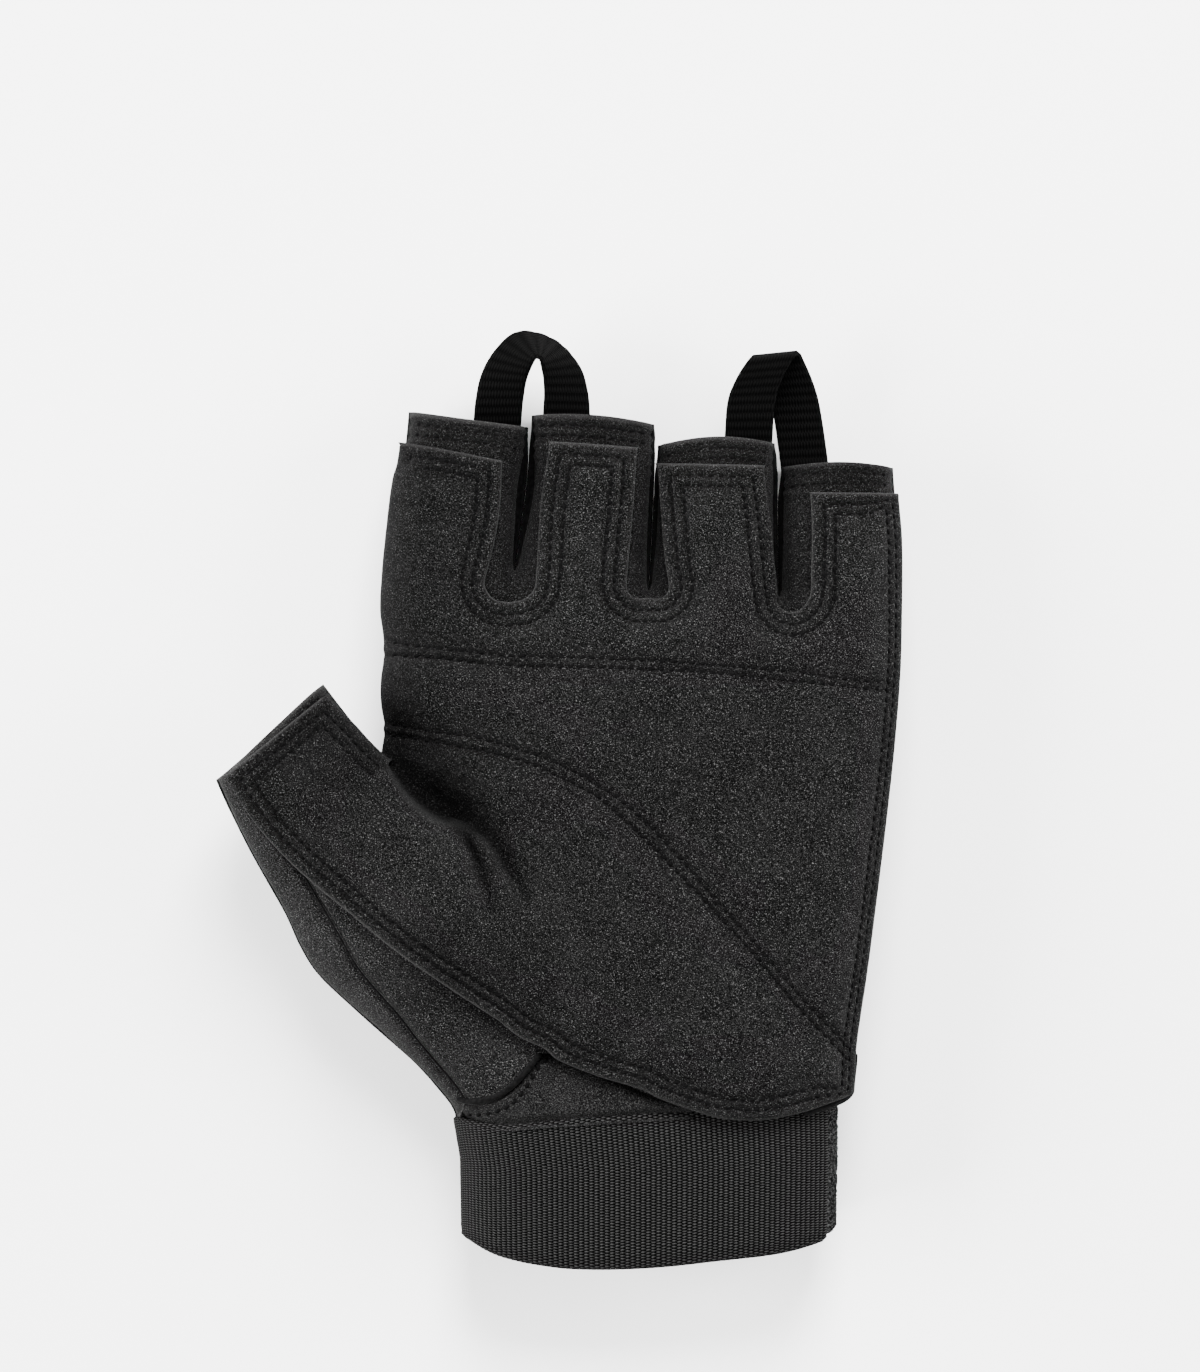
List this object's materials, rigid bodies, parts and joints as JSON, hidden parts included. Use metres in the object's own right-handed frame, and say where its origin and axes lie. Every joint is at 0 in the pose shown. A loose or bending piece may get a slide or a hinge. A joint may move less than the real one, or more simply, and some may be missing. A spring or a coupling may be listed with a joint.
{
  "type": "weightlifting glove",
  "caption": "Half-finger weightlifting glove for the left hand: padded suede palm overlay, stretch back, elastic wrist band with hook-and-loop tab, webbing pull loops between fingers.",
  "frame": {"origin": "on the flat back of the hand, under the middle of the palm, where the glove rests", "axes": "+Y from wrist to fingertips, the longest extent; +Z from the back of the hand to the palm; -X to the thumb's side"},
  "size_m": [0.1397, 0.1925, 0.0353],
  "materials": {
    "suede": "napped synthetic suede, charcoal",
    "padded_suede": "napped synthetic suede over thin padding, quilted",
    "side_fabric": "smooth dark knit",
    "stretch_fabric": "plain dark stretch knit",
    "knit_elastic": "ribbed knitted elastic",
    "fuzzy_loop": "brushed loop tape",
    "hook_tape": "fine hook tape",
    "webbing": "woven webbing"
  },
  "bodies": {
    "root": {"palm_panel": "suede", "palm_overlay": "padded_suede", "thumb_side_panel": "side_fabric", "back_panel": "stretch_fabric", "fourchette_index_middle": "stretch_fabric", "fourchette_middle_ring": "stretch_fabric", "fourchette_ring_little": "stretch_fabric", "heel_gusset": "side_fabric", "cuff_elastic": "knit_elastic", "loop_strip": "fuzzy_loop", "closure_tab": "hook_tape", "pull_loop_index_middle": "webbing", "pull_loop_ring_little": "webbing"}
  },
  "joints": []
}
